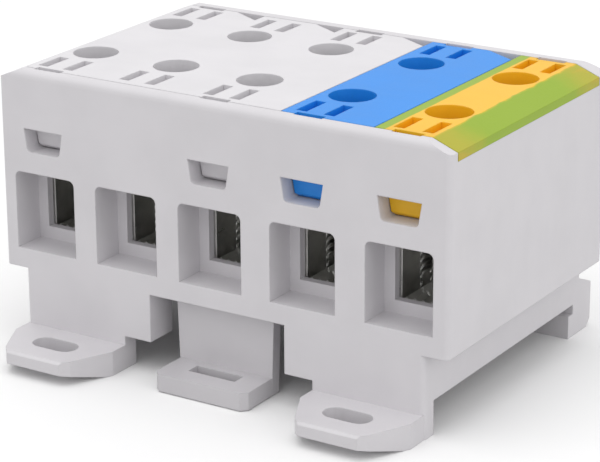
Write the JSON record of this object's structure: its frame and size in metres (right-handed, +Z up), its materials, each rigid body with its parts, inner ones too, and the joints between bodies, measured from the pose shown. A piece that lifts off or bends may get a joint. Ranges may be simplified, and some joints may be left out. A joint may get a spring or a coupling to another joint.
{
  "type": "power distribution block",
  "caption": "Rail-mounted distribution terminal block: wires enter toothed metal tunnels from both long sides and are clamped by hexagon-socket screws under coloured clip-on covers.",
  "frame": {"origin": "middle of the bounding box's bottom face, on the mounting plane", "axes": "+X along the row of poles towards the earth pole, +Y from the side with the mounting ears to the side with the rail hooks, +Z up from the mounting plane"},
  "size_m": [0.0644, 0.0534, 0.0368],
  "materials": {
    "grey_moulding": "fine moulded",
    "white_cover": "fine moulded",
    "blue_cover": "fine moulded",
    "yellow_green_cover": "fine moulded, two colours",
    "latch_moulding": "fine moulded",
    "tinned_aluminium": "tin plated, extruded",
    "plated_steel": "zinc plated",
    "spring_steel": "drawn wire"
  },
  "bodies": {
    "block": {"housing": "grey_moulding", "cover_phase": "white_cover", "cover_neutral": "blue_cover", "cover_earth": "yellow_green_cover", "terminal_phase_1": "tinned_aluminium", "terminal_phase_2": "tinned_aluminium", "terminal_phase_3": "tinned_aluminium", "terminal_neutral": "tinned_aluminium", "terminal_earth": "tinned_aluminium", "latch_spring": "spring_steel"},
    "latch": {"rail_latch": "latch_moulding"},
    "screw_1_front": {"screw_1_front": "plated_steel"},
    "screw_1_rear": {"screw_1_rear": "plated_steel"},
    "screw_2_front": {"screw_2_front": "plated_steel"},
    "screw_2_rear": {"screw_2_rear": "plated_steel"},
    "screw_3_front": {"screw_3_front": "plated_steel"},
    "screw_3_rear": {"screw_3_rear": "plated_steel"},
    "screw_4_front": {"screw_4_front": "plated_steel"},
    "screw_4_rear": {"screw_4_rear": "plated_steel"},
    "screw_5_front": {"screw_5_front": "plated_steel"},
    "screw_5_rear": {"screw_5_rear": "plated_steel"}
  },
  "joints": [
    {"name": "latch_slide", "type": "slide", "parent": "block", "child": "latch", "axis": [0, -1, 0], "range_m": [0, 0.0025], "stiffness_N_per_m": 600, "springref_m": -0.001, "deforming": ["latch_spring"]},
    {"name": "screw_1_front_travel", "type": "slide", "parent": "block", "child": "screw_1_front", "axis": [0, 0, 1], "range_m": [-0.0054, 0.004]},
    {"name": "screw_1_rear_travel", "type": "slide", "parent": "block", "child": "screw_1_rear", "axis": [0, 0, 1], "range_m": [-0.0054, 0.004]},
    {"name": "screw_2_front_travel", "type": "slide", "parent": "block", "child": "screw_2_front", "axis": [0, 0, 1], "range_m": [-0.0054, 0.004]},
    {"name": "screw_2_rear_travel", "type": "slide", "parent": "block", "child": "screw_2_rear", "axis": [0, 0, 1], "range_m": [-0.0054, 0.004]},
    {"name": "screw_3_front_travel", "type": "slide", "parent": "block", "child": "screw_3_front", "axis": [0, 0, 1], "range_m": [-0.0054, 0.004]},
    {"name": "screw_3_rear_travel", "type": "slide", "parent": "block", "child": "screw_3_rear", "axis": [0, 0, 1], "range_m": [-0.0054, 0.004]},
    {"name": "screw_4_front_travel", "type": "slide", "parent": "block", "child": "screw_4_front", "axis": [0, 0, 1], "range_m": [-0.0054, 0.004]},
    {"name": "screw_4_rear_travel", "type": "slide", "parent": "block", "child": "screw_4_rear", "axis": [0, 0, 1], "range_m": [-0.0054, 0.004]},
    {"name": "screw_5_front_travel", "type": "slide", "parent": "block", "child": "screw_5_front", "axis": [0, 0, 1], "range_m": [-0.0054, 0.004]},
    {"name": "screw_5_rear_travel", "type": "slide", "parent": "block", "child": "screw_5_rear", "axis": [0, 0, 1], "range_m": [-0.0054, 0.004]}
  ]
}
